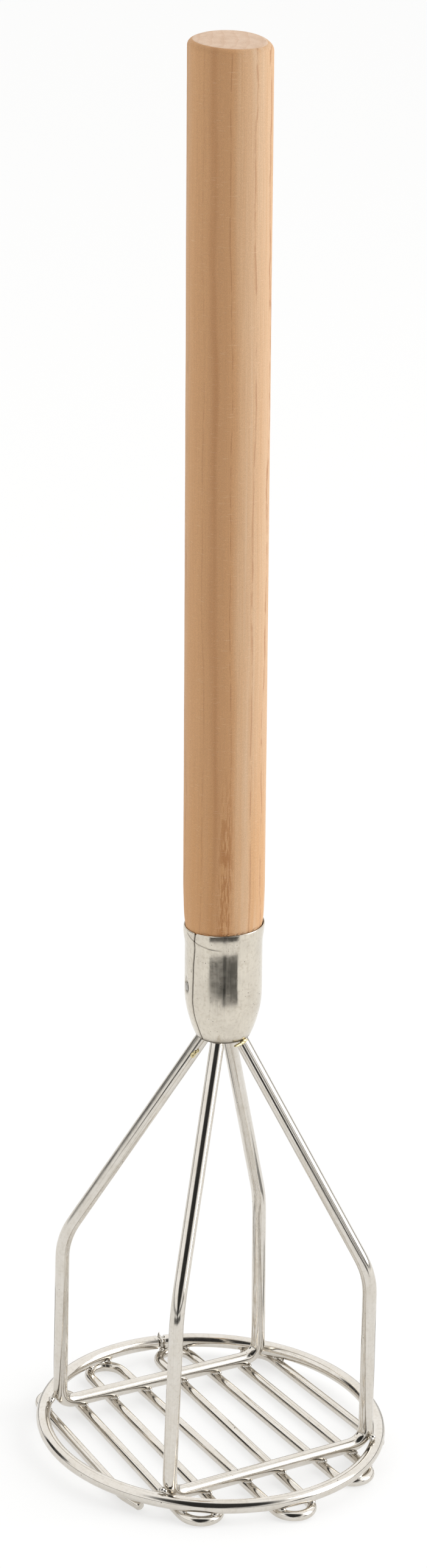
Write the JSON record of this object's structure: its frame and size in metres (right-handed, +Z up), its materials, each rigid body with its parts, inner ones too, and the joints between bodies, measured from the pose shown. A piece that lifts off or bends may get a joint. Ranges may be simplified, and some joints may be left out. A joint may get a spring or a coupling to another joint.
{
  "type": "potato masher",
  "caption": "Round-faced potato masher: a plain wooden dowel handle in a drawn metal ferrule, on a welded wire cage with a ring and a serpentine wire grid.",
  "frame": {"origin": "on the surface that the masher stands on, under the middle of its bounding box, which is 1.5 mm in front of the ring's centre", "axes": "+Z up from the mashing face towards the handle's end, +X along the two crossbars, +Y along the grid's straight runs towards the rear frame; the handle leans 2.7 degrees from +Z, towards -X"},
  "size_m": [0.112, 0.115, 0.4573],
  "materials": {
    "handle_wood": "sanded, unvarnished",
    "ferrule_plating": "bright nickel-type plating with pits and scuffs",
    "wire_plating": "bright nickel-type plating on drawn wire",
    "weld_metal": "plated weld beads with brown heat tint",
    "braze": "dull brazing metal",
    "nail_steel": "dull plated nail head"
  },
  "bodies": {
    "root": {"handle": "handle_wood", "ferrule": "ferrule_plating", "ferrule_nail": "nail_steel", "rear_frame": "wire_plating", "front_frame": "wire_plating", "ring": "wire_plating", "grid_wire": "wire_plating", "mouth_braze": "braze", "braze_drop": "braze", "braze_dribble": "braze", "ring_butt_weld": "weld_metal", "leg_weld_rear_left": "weld_metal", "leg_weld_rear_right": "weld_metal", "leg_weld_front_left": "weld_metal", "leg_weld_front_right": "weld_metal", "rear_crossbar_spot_weld_1": "weld_metal", "rear_crossbar_spot_weld_2": "weld_metal", "rear_crossbar_spot_weld_3": "weld_metal", "rear_crossbar_spot_weld_4": "weld_metal", "rear_crossbar_spot_weld_5": "weld_metal", "rear_crossbar_spot_weld_6": "weld_metal", "front_crossbar_spot_weld_1": "weld_metal", "front_crossbar_spot_weld_2": "weld_metal", "front_crossbar_spot_weld_3": "weld_metal", "front_crossbar_spot_weld_4": "weld_metal", "front_crossbar_spot_weld_5": "weld_metal", "ring_spot_weld_01": "weld_metal", "ring_spot_weld_02": "weld_metal", "ring_spot_weld_03": "weld_metal", "ring_spot_weld_04": "weld_metal", "ring_spot_weld_05": "weld_metal", "ring_spot_weld_06": "weld_metal", "ring_spot_weld_07": "weld_metal", "ring_spot_weld_08": "weld_metal", "ring_spot_weld_09": "weld_metal", "ring_spot_weld_10": "weld_metal", "ring_spot_weld_11": "weld_metal", "ring_spot_weld_12": "weld_metal", "ring_spot_weld_13": "weld_metal", "ring_spot_weld_14": "weld_metal", "ring_spot_weld_15": "weld_metal", "ring_spot_weld_16": "weld_metal"}
  },
  "joints": []
}
